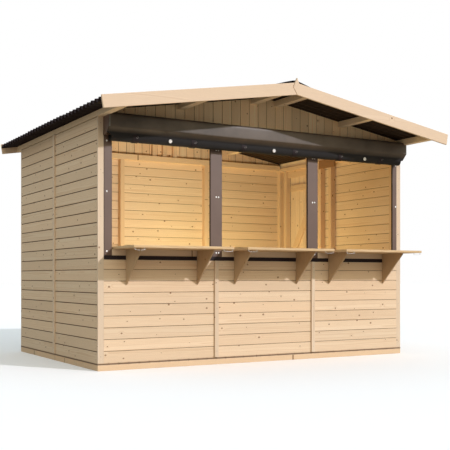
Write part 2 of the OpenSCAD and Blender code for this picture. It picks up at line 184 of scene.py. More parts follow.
# Floor frame
# Planed pine joists on edge, nailed into a frame that lies on the ground. Their
# arrises are eased, and each stick has its own grain, growth rings and knots.
def new_group(name, inputs, outputs):
    """A shader node group. An input without a value is a vector, every other socket a number."""
    group = bpy.data.node_groups.new(name, "ShaderNodeTree")
    for label, value in inputs.items():
        kind = "NodeSocketVector" if value is None else "NodeSocketFloat"
        socket = group.interface.new_socket(label, in_out="INPUT", socket_type=kind)
        if value is not None:
            socket.default_value = value
    for label in outputs:
        group.interface.new_socket(label, in_out="OUTPUT", socket_type="NodeSocketFloat")
    return group, group.nodes.new("NodeGroupInput").outputs, group.nodes.new("NodeGroupOutput").inputs


def vector_node(tree, operation, first, second=(0, 0, 0)):
    node = tree.nodes.new("ShaderNodeVectorMath")
    node.operation = operation
    feed(tree, node.inputs[0], first)
    feed(tree, node.inputs[1], second)
    return node.outputs["Value" if operation == "LENGTH" else "Vector"]


def join(tree, x, y, z):
    node = tree.nodes.new("ShaderNodeCombineXYZ")
    for socket, value in zip(node.inputs, (x, y, z)):
        feed(tree, socket, value)
    return node.outputs[0]


def noise(tree, vector, scale, detail=2.0, roughness=0.5):
    node = tree.nodes.new("ShaderNodeTexNoise")
    for label, value in (("Vector", vector), ("Scale", scale), ("Detail", detail), ("Roughness", roughness)):
        feed(tree, node.inputs[label], value)
    return node.outputs["Fac"]


def attribute(tree, name):
    node = tree.nodes.new("ShaderNodeAttribute")
    node.attribute_name = name
    return node.outputs


def add_bump(tree, shader, strength, distance, height):
    bump = tree.nodes.new("ShaderNodeBump")
    bump.inputs["Strength"].default_value = strength
    bump.inputs["Distance"].default_value = distance
    feed(tree, bump.inputs["Height"], height)
    feed(tree, shader.inputs["Normal"], bump.outputs[0])


def make_pine_grain():
    """Growth rings, knots and fibres of one stick, from its own length, width and depth in metres."""
    group, given, result = new_group(
        "pine_grain",
        {"Grain": None, "Board": 0.0, "Ring Pitch": 0.0045, "Knot Spacing": 0.24, "Knot Size": 0.0062},
        ("Rings", "Knot", "Knot Rim", "Fibre", "Tone", "Warmth"))
    calc = partial(math_node, group)

    def cloud(stretch, detail, roughness=0.5):
        """Noise with its own scale along, across and down into the stick."""
        return noise(group, vector_node(group, "MULTIPLY", given["Grain"], stretch), 1.0, detail, roughness)

    chance = group.nodes.new("ShaderNodeTexWhiteNoise")
    chance.noise_dimensions = "1D"
    feed(group, chance.inputs["W"], given["Board"])
    luck = split(group, chance.outputs["Color"])
    along, across, depth = split(group, given["Grain"])
    # Heart of the tree: a line beside or under the face that wanders along the stick
    wander = noise(group, join(group, calc("MULTIPLY", along, 0.9), luck[0], luck[1]), 1.0, 2.0)
    heart_y = calc("MULTIPLY_ADD", luck[0], 0.11, -0.055)
    heart_y = calc("MULTIPLY_ADD", wander, 0.05, calc("SUBTRACT", heart_y, 0.025))
    heart_z = calc("MULTIPLY_ADD", luck[1], 0.05, 0.028)
    # One knot in each stretch of the stick, some of them left out
    places = group.nodes.new("ShaderNodeTexVoronoi")
    places.voronoi_dimensions = "1D"
    places.inputs["Scale"].default_value = 1.0
    steps = calc("DIVIDE", along, given["Knot Spacing"])
    feed(group, places.inputs["W"], steps)
    own = split(group, places.outputs["Color"])
    from_knot = calc("MULTIPLY", calc("SUBTRACT", steps, places.outputs["W"]), given["Knot Spacing"])
    knot_y = calc("SUBTRACT", across, calc("MULTIPLY_ADD", own[0], 0.08, -0.04))
    away = vector_node(group, "LENGTH", join(group, calc("MULTIPLY", from_knot, 0.8), knot_y, 0.0))
    size = calc("MULTIPLY", given["Knot Size"], calc("MULTIPLY_ADD", own[1], 1.0, 0.25))
    size = calc("MULTIPLY", size, calc("GREATER_THAN", own[2], 0.3))
    share = calc("DIVIDE", away, calc("MAXIMUM", size, 0.0005))
    share = calc("ADD", share, calc("MULTIPLY_ADD", cloud((60, 160, 160), 2.0), 0.5, -0.25))
    feed(group, result["Knot"], ramp(group, share, 0.8, 1.05, 1.0, 0.0))
    rim = calc("ABSOLUTE", calc("SUBTRACT", share, 0.95))
    feed(group, result["Knot Rim"], ramp(group, rim, 0.0, 0.3, 1.0, 0.0))
    # Rings run round the heart and swell round a knot
    swell = calc("EXPONENT", calc("MULTIPLY", calc("POWER", share, 2.0), -0.12))
    radius = vector_node(group, "LENGTH", join(group, 0.0, calc("SUBTRACT", across, heart_y),
                                               calc("ADD", depth, heart_z)))
    radius = calc("ADD", radius, calc("MULTIPLY", swell, size))
    radius = calc("MULTIPLY_ADD", cloud((1.4, 22, 22), 3.0), 0.006, radius)
    turn = calc("FRACT", calc("DIVIDE", radius, given["Ring Pitch"]))
    late = ramp(group, turn, 0.25, 0.92)
    early = ramp(group, turn, 0.92, 1.0, 1.0, 0.0)
    feed(group, result["Rings"], calc("MULTIPLY", late, early))
    feed(group, result["Fibre"], cloud((9, 700, 700), 2.0, 0.6))
    feed(group, result["Tone"], luck[2])
    feed(group, result["Warmth"], luck[1])
    return group


def make_pine(name, early, late, knot, spread, roughness=0.62):
    """Planed untreated pine: pale early wood, darker late wood, brown knots, a tone for each stick."""
    material, tree, shader = new_material(name)
    calc = partial(math_node, tree)
    blend = partial(blend_colors, tree)
    grain = tree.nodes.new("ShaderNodeGroup")
    grain.node_tree = pine_grain
    place = attribute(tree, "grain")["Vector"]
    feed(tree, grain.inputs["Grain"], place)
    feed(tree, grain.inputs["Board"], attribute(tree, "board")["Fac"])
    rings, knots, rims, fibre, tone, warmth = grain.outputs
    cloudy = noise(tree, vector_node(tree, "MULTIPLY", place, (2.0, 9.0, 9.0)), 1.0, 3.0)
    color = blend(calc("MULTIPLY", rings, calc("MULTIPLY_ADD", cloudy, 0.7, 0.3)), early, late)
    streak = calc("MULTIPLY_ADD", fibre, 0.24, 0.88)
    color = blend(1.0, color, join(tree, streak, streak, streak), "MULTIPLY")
    lightness = calc("MULTIPLY_ADD", tone, spread, 1.0 - spread / 2)
    pale = calc("MULTIPLY_ADD", warmth, spread * 0.7, 1.0 - spread * 0.35)
    tint = join(tree, lightness, calc("MULTIPLY", lightness, calc("POWER", pale, 0.5)),
                calc("MULTIPLY", lightness, pale))
    color = blend(1.0, color, tint, "MULTIPLY")
    color = blend(calc("MULTIPLY", knots, 0.85), color, knot)
    color = blend(calc("MULTIPLY", rims, 0.55), color, tuple(c * 0.55 for c in knot))
    # Partly painted shade: the colour darkens down the sides of each tongue and groove, for the shade in the
    # joint and for its rougher sawn sides
    sunk = attribute(tree, "joint")["Fac"]
    color = blend(calc("MULTIPLY", sunk, 0.9), color, (0.10, 0.045, 0.019))
    feed(tree, shader.inputs["Base Color"], color)
    feed(tree, shader.inputs["Roughness"], calc("MULTIPLY_ADD", fibre, 0.16, roughness))
    shader.inputs["Specular IOR Level"].default_value = 0.35
    add_bump(tree, shader, 0.5, 0.0006, calc("MULTIPLY_ADD", rings, 0.6, fibre))
    return material


pine_grain = make_pine_grain()
frame_pine = make_pine("frame_pine", (0.80, 0.585, 0.38), (0.66, 0.42, 0.23), (0.26, 0.12, 0.05), 0.12, 0.6)
draw = random.Random(11)


def new_wood():
    """An empty mesh with the place and the numbers that the pine material reads."""
    wood = bmesh.new()
    wood.verts.layers.float_vector.new("grain")
    wood.verts.layers.float.new("board")
    wood.verts.layers.float.new("joint")
    return wood


def extent(verts):
    """Lowest and highest corner of some vertices."""
    return tuple(Vector([pick(v.co[i] for v in verts) for i in range(3)]) for pick in (min, max))


def set_grain(wood, verts, axes=None):
    """Gives the vertices of one stick its own grain, along the longest side unless axes says otherwise."""
    low, high = extent(verts)
    middle = (low + high) / 2
    axes = axes or sorted(range(3), key=lambda i: low[i] - high[i])
    shift = draw.uniform(0, 80)
    number = draw.uniform(0, 100)
    flip = draw.choice((-1, 1))
    grain = wood.verts.layers.float_vector["grain"]
    board = wood.verts.layers.float["board"]
    for v in verts:
        local = v.co - middle
        v[grain] = (local[axes[0]] + shift, flip * local[axes[1]], flip * local[axes[2]])
        v[board] = number


def islands(wood):
    """The vertices of each separate stick."""
    left = set(wood.verts)
    found = []
    for start in wood.verts:
        if start not in left:
            continue
        left.discard(start)
        group, edge = [start], [start]
        while edge:
            for link in edge.pop().link_edges:
                for v in link.verts:
                    if v in left:
                        left.discard(v)
                        group.append(v)
                        edge.append(v)
        found.append(group)
    return found


def welded(node):
    """A copy of a frame node's own mesh with its corners joined and its flat faces whole."""
    wood = new_wood()
    wood.from_mesh(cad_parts[node].data)
    bmesh.ops.remove_doubles(wood, verts=wood.verts, dist=1e-5)
    bmesh.ops.dissolve_limit(wood, angle_limit=0.01, verts=wood.verts, edges=wood.edges)
    return wood


def boxes(node):
    """Lowest and highest corner of each separate solid of a frame node."""
    wood = welded(node)
    found = [extent(verts) for verts in islands(wood)]
    wood.free()
    return found


def ease(wood, radius, edges=None):
    """Rounds every arris, or the given edges."""
    sharp = edges or [e for e in wood.edges if e.calc_face_angle(0) > 0.3]
    bmesh.ops.bevel(wood, geom=sharp, offset=radius, segments=2, profile=0.5, affect="EDGES",
                    clamp_overlap=True)


def add_piece(name, mesh, material, body, nodes=(), smooth=None):
    """Turns a finished mesh into a piece that rides on a body and may stand for frame nodes."""
    bmesh.ops.recalc_face_normals(mesh, faces=mesh.faces)
    data = bpy.data.meshes.new(name)
    mesh.to_mesh(data)
    mesh.free()
    thing = place_new(name, data)
    data.materials.append(material)
    if smooth:
        data.polygons.foreach_set("use_smooth", [True] * len(data.polygons))
        data.set_sharp_from_angle(angle=math.radians(smooth))
    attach(thing, body)
    if nodes:
        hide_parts(*nodes)
    return thing


def add_planed(name, wood, material, body, nodes=()):
    """A piece of plain sticks, each with its own grain."""
    for verts in islands(wood):
        set_grain(wood, verts)
    add_piece(name, wood, material, body, nodes)


def add_sticks(node, material, radius=0.002, body="kiosk"):
    """Stands for a frame node of plain sticks: the same solids with eased arrises and grain."""
    wood = welded(node)
    ease(wood, radius)
    add_planed(node + "_planed", wood, material, body, [node])


add_sticks("floor_joists", frame_pine)
add_sticks("floor_side_joists", frame_pine)

# Floor
# Tongued pine boards that run from front to back over the joists. Their sawn ends
# show under the front and the back wall.
board_pine = make_pine("board_pine", (0.82, 0.635, 0.445), (0.70, 0.48, 0.29), (0.30, 0.15, 0.075), 0.11)
floor_pitch = 0.088
joint_gap = 0.0029
joint_bevel = 0.0021
tongue_reach = 0.006
tongue_share = 0.3
# How far each level of a board's edge is darkened: partly painted shade down in the joint, partly its sawn
# sides
joint_shades = (0.0, 0.25, 1.0, 1.0, 1.0, 1.0, 0.3, 0.0)


def skin(mesh, rings, ends="face"):
    """Faces between neighbouring rings of vertices. Each end gets one face, or a strip of faces
    across a long thin ring, or nothing where the rings run round in a loop."""
    count = len(rings[0])
    for one, two in zip(rings, rings[1:] + (rings[:1] if ends == "loop" else [])):
        for i in range(count):
            j = (i + 1) % count
            mesh.faces.new((one[i], one[j], two[j], two[i]))
    for ring in (rings[0][::-1], rings[-1]):
        if ends == "face":
            mesh.faces.new(ring)
        elif ends == "strip":
            for i in range(count // 2 - 1):
                mesh.faces.new((ring[i], ring[i + 1], ring[count - 2 - i], ring[count - 1 - i]))


def add_board(wood, outline, v0, v1, thickness, place, first, last, gap):
    """One tongued and grooved board. outline(a, b) is its face between the side edges a and b,
    and place(l, v, t) puts a point at length l, width v and depth t below the face."""
    edge = v1 - (0 if last else gap)
    tongue = edge + (0 if last else tongue_reach)
    groove = v0 + (0 if first else tongue_reach)
    near = thickness * (0.5 - tongue_share / 2)
    far = thickness * (0.5 + tongue_share / 2)
    levels = [(0, v0 + joint_bevel, edge - joint_bevel), (joint_bevel, v0, edge), (near, v0, edge),
              (near, groove, tongue), (far, groove, tongue), (far, v0, edge),
              (thickness - joint_bevel, v0, edge), (thickness, v0 + joint_bevel, edge - joint_bevel)]
    rings = [[wood.verts.new(place(l, v, depth)) for l, v in outline(a, b)] for depth, a, b in levels]
    joint = wood.verts.layers.float["joint"]
    for ring, shade in zip(rings, joint_shades):
        for v in ring:
            v[joint] = shade
    skin(wood, rings)
    return [v for ring in rings for v in ring]


def lay_boards(wood, joints, ends, thickness, place, outline=None, gap=joint_gap):
    """A row of boards with the given joints, between two ends of their length or in an outline."""
    def plain(v0, v1, a, b):
        return [(ends[0], a), (ends[1], a), (ends[1], b), (ends[0], b)]

    origin = place(0, 0, 0)
    steps = (place(1, 0, 0) - origin, place(0, 1, 0) - origin, place(0, 0, 1) - origin)
    axes = [max(range(3), key=lambda i: abs(step[i])) for step in steps]
    for k, (v0, v1) in enumerate(zip(joints, joints[1:])):
        face = partial(outline or plain, v0, v1)
        verts = add_board(wood, face, v0, v1, thickness, place, k == 0, k == len(joints) - 2, gap)
        set_grain(wood, verts, axes)


def even_joints(low, high, pitch):
    """Joints from low to high, about a pitch apart."""
    count = max(1, round((high - low) / pitch))
    return [low + (high - low) * i / count for i in range(count + 1)]


floor_low, floor_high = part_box("floor_boards")
boards = new_wood()
lay_boards(boards, even_joints(floor_low.x, floor_high.x, floor_pitch), (floor_low.y, floor_high.y),
           floor_high.z - floor_low.z, lambda l, v, t: Vector((v, l, floor_high.z - t)))
add_piece("floor_boards_laid", boards, board_pine, "kiosk", ["floor_boards"])

# Wall panels
# Horizontal tongued boards, planed on the face, nailed over the studs. The low front
# wall is three panels, the back wall three, each side wall two.
wall_row = 0.09
side_gap = 0.0066
eaves_gap = 0.006


def clad(node, outward):
    """Boards for a wall panel whose face looks along the given direction."""
    wood = new_wood()
    deep = 0 if outward[0] else 1
    for low, high in boxes(node):
        face = (high if outward[deep] > 0 else low)[deep]
        joints = even_joints(low.z, high.z, wall_row)
        if deep == 0:
            joints[-1] -= eaves_gap

        def place(l, v, t):
            sunk = face - outward[deep] * t
            return Vector((sunk, l, v) if deep == 0 else (l, sunk, v))

        lay_boards(wood, joints, (low[1 - deep], high[1 - deep]), high[deep] - low[deep], place,
                   gap=side_gap if outward[0] < 0 else joint_gap)
    add_piece(node + "_boards", wood, board_pine, "kiosk", [node])


for outward, panels in (
        ((0, -1, 0), ("front_panel_left", "front_panel_middle", "front_panel_right")),
        ((0, 1, 0), ("back_panel_left", "back_panel_middle", "back_panel_right")),
        ((-1, 0, 0), ("left_panel_front", "left_panel_back")),
        ((1, 0, 0), ("right_panel_front", "right_panels_beside_door", "right_panel_over_door"))):
    for panel in panels:
        clad(panel, outward)

# Wall frames
# Planed pine studs, posts and rails inside the boards, with a stop strip over the door and
# a brown board across the joint of the right side panels. Trims and battens cover the
# corners and joints outside, and flat headed nails hold it all.
for node in ("corner_posts", "front_posts", "front_rails", "front_head_rail", "back_studs", "back_rails",
             "side_studs", "side_rails", "gable_battens"):
    add_sticks(node, frame_pine)


def add_stick(wood, low, high, radius=0.002):
    """One planed stick between two corners."""
    size = Vector(high) - Vector(low)
    middle = (Vector(high) + Vector(low)) / 2
    verts = bmesh.ops.create_cube(wood, size=1)["verts"]
    for v in verts:
        v.co = middle + Vector([v.co[i] * size[i] for i in range(3)])
    ease(wood, radius, list({edge for v in verts for edge in v.link_edges}))


over_low, over_high = boxes("right_panel_over_door")[0]
stop = new_wood()
add_stick(stop, (over_low.x - 0.030, over_low.y + 0.0005, over_low.z - 0.028),
          (over_low.x - 0.007, over_high.y - 0.0005, over_low.z + 0.0445))
add_planed("door_head_stop", stop, frame_pine, "kiosk")

brown_pine = make_pine("brown_pine", (0.36, 0.19, 0.085), (0.25, 0.12, 0.05), (0.14, 0.06, 0.025), 0.06)
splice = new_wood()
add_stick(splice, (over_low.x - 0.0695, -0.095, over_low.z),
          (over_low.x - 0.0582, 0.175, over_high.z - 0.002))
add_planed("panel_splice", splice, brown_pine, "kiosk")

trim_pine = make_pine("trim_pine", (0.785, 0.635, 0.48), (0.64, 0.45, 0.285), (0.28, 0.14, 0.07), 0.06)
for node in ("corner_trims", "joint_battens", "front_sills"):
    add_sticks(node, trim_pine)


def turned(mesh, foot, direction, profile, steps=16):
    """A turned part on a foot point: profile is a list of (height, radius) along the direction."""
    out = Vector(direction).normalized()
    side = out.orthogonal().normalized()
    other = out.cross(side)
    turns = [math.tau * i / steps for i in range(steps)]
    skin(mesh, [[mesh.verts.new(Vector(foot) + out * height
                                + (side * math.cos(t) + other * math.sin(t)) * radius)
                 for t in turns] for height, radius in profile])


def make_zinc(name, low, high, roughness, metallic=1.0):
    """Plated steel with a faint flower."""
    material, tree, shader = new_material(name)
    flower = noise(tree, tree.nodes.new("ShaderNodeTexCoord").outputs["Object"], 60.0, 3.0)
    feed(tree, shader.inputs["Base Color"], blend_colors(tree, flower, low, high))
    shader.inputs["Metallic"].default_value = metallic
    feed(tree, shader.inputs["Roughness"], math_node(tree, "MULTIPLY_ADD", flower, 0.25, roughness))
    return material


nail_steel = make_zinc("nail_steel", (0.28, 0.26, 0.24), (0.42, 0.40, 0.37), 0.45)
nail_profile = [(-0.0006, 0.0026), (0.0004, 0.0026), (0.0008, 0.0014)]
nail_sides = 8
nail_edge = 0.05
nail_pitch = 0.36
wall_foot = 0.06
wall_top = 1.95
nail_lines = {-1: (-0.950, 0.950), 1: (-0.950, 0.1775, 0.8225, 0.950)}
wall_nails = bmesh.new()
for node in ("corner_trims", "joint_battens"):
    for low, high in boxes(node):
        thin = min((0, 1), key=lambda i: high[i] - low[i])
        spot = (low + high) / 2
        outward = Vector((0, 0, 0))
        outward[thin] = math.copysign(1, spot[thin])
        spot[thin] = high[thin] if outward[thin] > 0 else low[thin]
        for z in even_joints(low.z + nail_edge, high.z - nail_edge, nail_pitch):
            turned(wall_nails, (spot.x, spot.y, z), outward, nail_profile, nail_sides)
for side, lines in nail_lines.items():
    wall_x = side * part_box("right_panel_front")[1].x
    for row in even_joints(wall_foot, wall_top, wall_row)[:-1]:
        for y in lines:
            for share in (0.25, 0.75):
                turned(wall_nails, (wall_x, y, row + wall_row * share), (side, 0, 0), nail_profile,
                       nail_sides)
add_piece("wall_nails", wall_nails, nail_steel, "kiosk", smooth=50)

# Gables
# Upright tongued boards over both end walls, cut to the slope of the roof and notched
# round the purlins.
# Painted light: the gable boards are a paler, warmer pine than the walls, to brighten the gables that lie in
# the shade of the roof
gable_pine_lightened = make_pine("gable_pine_lightened", (0.97, 0.72, 0.45), (0.84, 0.54, 0.30), (0.32, 0.15, 0.07), 0.26)
gable_pitch = 0.0875
gable_start = 0.018
purlin_boxes = boxes("purlins")


def roof_line(node):
    """Height of the ridge and fall per metre of the underside of the roof, from a gable's own corners."""
    wood = welded(node)
    peak = max(v.co.z for v in wood.verts)
    fall = min((peak - v.co.z) / abs(v.co.x) for v in wood.verts if abs(v.co.x) > 0.3)
    wood.free()
    return peak, fall


ridge_z, roof_fall = roof_line("front_gable")


def add_gable(node, outward):
    low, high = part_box(node)
    first = math.ceil((low.x - gable_start) / gable_pitch)
    last = math.floor((high.x - gable_start) / gable_pitch)
    joints = [low.x] + [gable_start + gable_pitch * k for k in range(first, last + 1)] + [high.x]
    breaks = [0.0] + [x for box in purlin_boxes for x in (box[0].x, box[1].x)]

    def outline(v0, v1, a, b):
        """Up to the roof, or up to the purlin that the board passes under."""
        inner = sorted(x for x in breaks if v0 < x < v1)
        marks = [a] + [min(max(x, a + 1e-4), b - 1e-4) for x in inner] + [b]
        real = [v0] + inner + [v1]
        points = [(low.z, a), (low.z, b)]
        for i in range(len(marks) - 1, 0, -1):
            middle = (real[i] + real[i - 1]) / 2
            under = next((box[0].z for box in purlin_boxes if box[0].x < middle < box[1].x), None)
            for mark in (marks[i], marks[i - 1]):
                points.append((under or ridge_z - abs(mark) * roof_fall, mark))
        return points

    wood = new_wood()
    face_y = high.y if outward > 0 else low.y
    lay_boards(wood, joints, None, high.y - low.y, lambda l, v, t: Vector((v, face_y - outward * t, l)),
               outline)
    bmesh.ops.remove_doubles(wood, verts=wood.verts, dist=1e-6)
    add_piece(node + "_boards", wood, gable_pine_lightened, "kiosk", [node])


add_gable("front_gable", -1)
add_gable("back_gable", 1)

# Purlins
# Six planed pine sticks that run from bargeboard to bargeboard through notches in the
# gables. Their tops are cut to the slope, and the roof sheets are nailed to them.
purlin_pine = make_pine("purlin_pine", (0.90, 0.71, 0.50), (0.80, 0.58, 0.36), (0.30, 0.14, 0.06), 0.08)
add_sticks("purlins", purlin_pine)


# Roof
# Three corrugated bitumen sheets a slope, matt black with a mineral grain, the middle one
# lapped over its neighbours. A cap in three lapped lengths covers the ridge, and domed
# caps cover the nails on the crests.
def make_mineral_grain():
    """Speckle and faded patches of a mineral filled sheet."""
    group, given, result = new_group("mineral_grain", {"Speck Scale": 900.0, "Patch Scale": 3.0},
                                     ("Speck", "Patch"))
    where = group.nodes.new("ShaderNodeTexCoord").outputs["Object"]
    for label in ("Speck", "Patch"):
        feed(group, result[label], noise(group, where, given[label + " Scale"], 3.0, 0.6))
    return group


def make_bitumen(name, low, high, faded):
    """Matt bitumen sheet with specks of mineral and a faded bloom in patches."""
    material, tree, shader = new_material(name)
    grain = tree.nodes.new("ShaderNodeGroup")
    grain.node_tree = mineral_grain
    speck, patch = grain.outputs
    color = blend_colors(tree, ramp(tree, patch, 0.45, 0.75, 0.0, 0.3),
                         blend_colors(tree, speck, low, high), faded)
    feed(tree, shader.inputs["Base Color"], color)
    feed(tree, shader.inputs["Roughness"], math_node(tree, "MULTIPLY_ADD", speck, 0.3, 0.5))
    shader.inputs["Specular IOR Level"].default_value = 0.16
    add_bump(tree, shader, 0.6, 0.0008, speck)
    return material


mineral_grain = make_mineral_grain()
bitumen = make_bitumen("bitumen", (0.006, 0.0025, 0.003), (0.020, 0.010, 0.012), (0.030, 0.018, 0.018))
# Painted light: a paler brown copy of the bitumen for the underside of the right slope, standing for warm
# light under the roof
bitumen_lit_underside = make_bitumen("bitumen_lit_underside", (0.026, 0.014, 0.007), (0.048, 0.027, 0.014),
                            (0.060, 0.036, 0.020))
wave_pitch = 0.076
wave_height = 0.031
wave_sharpness = 1.7
wave_steps = 14
sheet_t = 0.0028
sheet_seat = 0.0003
lap_gap = 0.0004
slope_angle = math.atan(roof_fall)
slope_sin = math.sin(slope_angle)
slope_cos = math.cos(slope_angle)
ridge_clearance = 0.002
eaves_clearance = 0.0010
cap_rows = (0.808, 1.50)
cap_profile = [(0.0, 0.011), (0.003, 0.0115), (0.006, 0.008), (0.0075, 0.003)]
cap_sides = 12


def on_roof(side, along, y, lift):
    """Point a distance along from the ridge line down one slope, lifted off the purlins."""
    return Vector((side * (along * slope_cos + lift * slope_sin), y,
                   ridge_z - along * slope_sin + lift * slope_cos))


def roof_wave(y):
    return wave_height * (0.5 - 0.5 * math.cos(math.tau * y / wave_pitch)) ** wave_sharpness


def every_third_crest(low_y, high_y):
    crest = low_y + wave_pitch * 1.5
    while crest < high_y - wave_pitch / 2:
        yield crest
        crest += wave_pitch * 3


for side, way in ((-1, "left"), (1, "right")):
    node = "roof_sheet_" + way
    low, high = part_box(node)
    seams = [low.y, low.y + 12 * wave_pitch, low.y + 23 * wave_pitch, high.y]
    start = ridge_clearance / slope_cos + ridge_clearance
    outer = max(abs(low.x), abs(high.x))
    end = (outer - (wave_height + sheet_t * 2 + eaves_clearance) * slope_sin) / slope_cos
    sheets = bmesh.new()
    for k in range(3):
        y0 = seams[k] - (wave_pitch if k else 0)
        y1 = seams[k + 1]
        lap = sheet_t + lap_gap if k == 1 else 0.0
        steps = max(2, round((y1 - y0) / wave_pitch * wave_steps))
        rings = []
        for y in (y0 + (y1 - y0) * i / steps for i in range(steps + 1)):
            lift = sheet_seat + lap + roof_wave(y - low.y)
            rings.append([sheets.verts.new(on_roof(side, along, y, lift + up)) for along, up in
                          ((start, 0.0), (end, 0.0), (end, sheet_t), (start, sheet_t))])
        skin(sheets, rings)
    laid = add_piece(node + "_sheets", sheets, bitumen, "kiosk", [node], smooth=40)
    laid.data.materials.append(bitumen_lit_underside)
    # Painted light: the downward faces of the right slope take the lit copy, while the left slope stays black
    # underneath
    for face in laid.data.polygons:
        face.material_index = int(side > 0 and face.normal.z < -0.2)

    caps = bmesh.new()
    for crest in every_third_crest(low.y, high.y):
        for row in cap_rows:
            turned(caps, on_roof(side, row / slope_cos, crest, wave_height + sheet_t * 2 + 0.0002),
                   (side * slope_sin, 0, slope_cos), cap_profile, cap_sides)
    add_piece("nail_caps_" + way, caps, bitumen, "kiosk", smooth=50)

cap_t = 0.0022
cap_lift = 0.0024
cap_lap = 0.07
cap_skin = welded("ridge_cap")
cap_top = {}
for v in cap_skin.verts:
    x = round(v.co.x, 4)
    cap_top[x] = max(cap_top.get(x, 0.0), v.co.z)
cap_skin.free()
cap_line = sorted(cap_top.items())
cap_low, cap_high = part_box("ridge_cap")
cap_ends = [cap_low.y, cap_low.y + 0.93, cap_low.y + 1.80, cap_high.y]
ridge = bmesh.new()
for k in range(3):
    lift = cap_lift if k == 1 else 0.0
    spread = cap_lap / 2 if k == 1 else 0.0
    skin(ridge, [[ridge.verts.new((x, y, z + lift - deep)) for line, deep in
                  ((cap_line, 0.0), (cap_line[::-1], cap_t)) for x, z in line]
                 for y in (cap_ends[k] - spread, cap_ends[k + 1] + spread)], "strip")
add_piece("ridge_cap_lengths", ridge, bitumen, "kiosk", ["ridge_cap"], smooth=40)

cap_nail_x = 0.214
edge_x, edge_z = cap_line[-1]
edge_run = Vector((edge_x - cap_line[-2][0], 0, edge_z - cap_line[-2][1])).normalized()
cap_nail_z = edge_z + (edge_x - cap_nail_x) * -edge_run.z / edge_run.x + cap_lift
cap_nails = bmesh.new()
for crest in every_third_crest(cap_low.y, cap_high.y):
    for side in (-1, 1):
        turned(cap_nails, (side * cap_nail_x, crest, cap_nail_z), (side * -edge_run.z, 0, edge_run.x),
               cap_profile, cap_sides)
add_piece("ridge_nail_caps", cap_nails, bitumen, "kiosk", smooth=50)

# Bargeboards
# Planed boards over the ends of the purlins and sheets, meeting at the ridge in a
# pointed joint. They are of a paler, pinker cut of pine than the walls.
barge_pine = make_pine("barge_pine", (0.765, 0.59, 0.43), (0.665, 0.48, 0.325), (0.30, 0.15, 0.075), 0.04)
for node in ("bargeboard_front_left", "bargeboard_front_right",
             "bargeboard_back_left", "bargeboard_back_right"):
    add_sticks(node, barge_pine)

# Dark strips
# Strips of grey brown coated sheet, pinned over the window posts and along the foot of
# the windows. Nickel press studs on them take the edges of the cover when it is down.
coat_weave = 0.0011


def make_coated(name, low, high, relief, roughness, gloss, reverse=None):
    """Woven sheet with a dull plastic coat: fine threads under a slightly mottled colour."""
    material, tree, shader = new_material(name)
    calc = partial(math_node, tree)
    blend = partial(blend_colors, tree)
    where = tree.nodes.new("ShaderNodeTexCoord").outputs["Object"]
    x, y, z = split(tree, where)
    across = calc("SINE", calc("MULTIPLY", x, math.tau / coat_weave))
    down = calc("SINE", calc("MULTIPLY", calc("ADD", z, y), math.tau / coat_weave))
    weave = calc("MULTIPLY", across, down)
    cloud = noise(tree, where, 5.0, 4.0)
    fine = noise(tree, where, 140.0, 2.0)
    rough = calc("MULTIPLY_ADD", fine, 0.2, roughness)
    color = blend(ramp(tree, cloud, 0.3, 0.7), low, high)
    if reverse:
        # The black back is duller, and a painted highlight runs pale along the folded ends
        back = attribute(tree, "reverse")["Fac"]
        rough = calc("MULTIPLY_ADD", back, 0.4, rough, clamp=True)
        color = blend(back, color, reverse)
        fold_highlight = calc("MULTIPLY", attribute(tree, "fold_highlight")["Fac"], calc("MULTIPLY_ADD", fine, 0.6, 0.4))
        color = blend(fold_highlight, color, (0.24, 0.25, 0.23))
    shade = calc("MULTIPLY_ADD", weave, 0.04, calc("MULTIPLY_ADD", fine, 0.16, 0.92))
    color = blend(1.0, color, join(tree, shade, shade, shade), "MULTIPLY")
    feed(tree, shader.inputs["Base Color"], color)
    feed(tree, shader.inputs["Roughness"], rough)
    shader.inputs["Specular IOR Level"].default_value = gloss
    add_bump(tree, shader, 0.4, relief, calc("MULTIPLY_ADD", weave, 0.4, fine))
    return material


coated = make_coated("coated_sheet", (0.098, 0.047, 0.026), (0.114, 0.058, 0.035), 0.0004, 0.4, 0.85)
black_rubber_and_side_shade = make_coated("black_strip_and_side_shade", (0.016, 0.009, 0.011), (0.024, 0.015, 0.017), 0.0006, 0.6, 0.3)
for node, stuff in (("window_strips", coated), ("sill_strip", black_rubber_and_side_shade)):
    strip = welded(node)
    ease(strip, 0.0025)
    laid = add_piece(node + "_coated", strip, stuff, "kiosk", [node])
    # Painted shade: the faces of the window strips that look left and right take the black strip material
    laid.data.materials.append(black_rubber_and_side_shade)
    for face in laid.data.polygons:
        face.material_index = int(abs(face.normal.x) > 0.7)

nickel = make_zinc("stud_nickel", (0.86, 0.86, 0.84), (0.94, 0.94, 0.93), 0.25, 0.25)
stud_profile = [(-0.001, 0.0070), (0.0016, 0.0070), (0.0026, 0.0062), (0.0030, 0.0045), (0.0022, 0.0030),
                (0.0034, 0.0026), (0.0040, 0.0012)]
stud_columns = (-1.448, -0.483, -0.461, 0.495, 0.517, 1.456)
stud_rows = (1.766, 1.377, 0.918)
strip_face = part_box("window_strips")[0].y
studs = bmesh.new()
for x in stud_columns:
    for z in stud_rows:
        turned(studs, (x, strip_face, z), (0, -1, 0), stud_profile)
add_piece("press_studs", studs, nickel, "kiosk", smooth=35)

